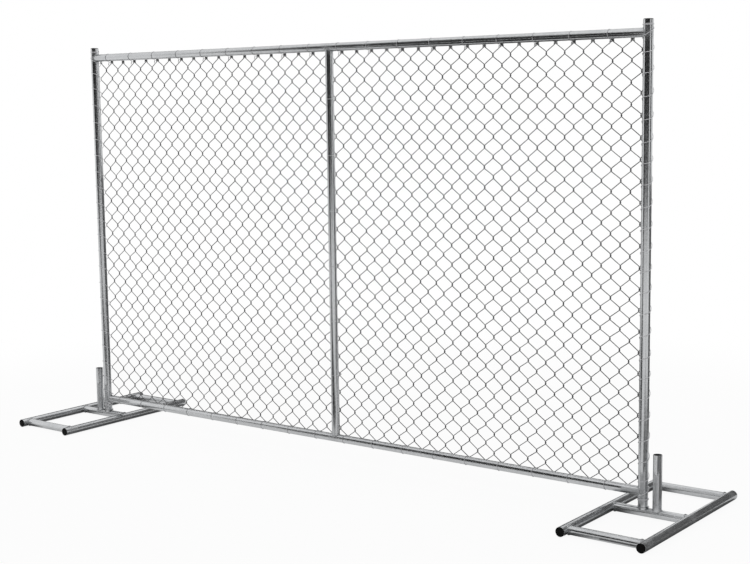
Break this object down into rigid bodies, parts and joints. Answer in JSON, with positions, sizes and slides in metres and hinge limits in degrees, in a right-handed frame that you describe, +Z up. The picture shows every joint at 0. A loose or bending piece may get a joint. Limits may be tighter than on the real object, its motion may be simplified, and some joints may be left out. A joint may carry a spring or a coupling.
{
  "type": "temporary fence panel",
  "caption": "Free-standing chain-link fence panel with a galvanised tubular frame that slips over the upright stubs of two ladder-shaped feet.",
  "frame": {"origin": "on the ground, midway between the feet, in the plane of the posts", "axes": "+X along the panel to the right end as seen from the front, +Y from the front to the back, where the mesh is tied, +Z up"},
  "size_m": [3.431, 0.808, 1.8713],
  "materials": {
    "galvanised_tube": "galvanised, satin, faint spangle",
    "galvanised_wire": "galvanised, satin",
    "mesh_wire": "galvanised, dull and dark",
    "black_plug": "matt moulded plastic"
  },
  "bodies": {
    "panel": {"left_end_post": "galvanised_tube", "right_end_post": "galvanised_tube", "middle_post": "galvanised_tube", "top_rail": "galvanised_tube", "bottom_rail": "galvanised_tube", "left_post_plug": "black_plug", "right_post_plug": "black_plug", "mesh": "mesh_wire", "left_post_lacing": "galvanised_wire", "right_post_lacing": "galvanised_wire", "top_rail_ties": "galvanised_wire", "bottom_rail_ties": "galvanised_wire", "middle_post_ties": "galvanised_wire"},
    "left_ring": {"left_seat_ring": "galvanised_tube"},
    "left_foot": {"left_inner_runner": "galvanised_tube", "left_outer_runner": "galvanised_tube", "left_front_crossbar": "galvanised_tube", "left_middle_crossbar": "galvanised_tube", "left_rear_crossbar": "galvanised_tube", "left_post_stub": "galvanised_tube", "left_free_stub": "galvanised_tube", "left_end_plugs": "black_plug"},
    "right_ring": {"right_seat_ring": "galvanised_tube"},
    "right_foot": {"right_inner_runner": "galvanised_tube", "right_outer_runner": "galvanised_tube", "right_front_crossbar": "galvanised_tube", "right_middle_crossbar": "galvanised_tube", "right_rear_crossbar": "galvanised_tube", "right_post_stub": "galvanised_tube", "right_free_stub": "galvanised_tube", "right_end_plugs": "black_plug"}
  },
  "joints": [
    {"name": "left_lift", "type": "slide", "parent": "panel", "child": "left_ring", "axis": [0, 0, -1], "range_m": [0, 0.25]},
    {"name": "left_swivel", "type": "hinge", "parent": "left_ring", "child": "left_foot", "pos_m": [-1.505, 0, 0.0365], "axis": [0, 0, 1], "range_deg": [-125, 125]},
    {"name": "right_lift", "type": "slide", "parent": "panel", "child": "right_ring", "axis": [0, 0, -1], "range_m": [0, 0.25]},
    {"name": "right_swivel", "type": "hinge", "parent": "right_ring", "child": "right_foot", "pos_m": [1.505, 0, 0.0365], "axis": [0, 0, 1], "range_deg": [-125, 125]}
  ]
}
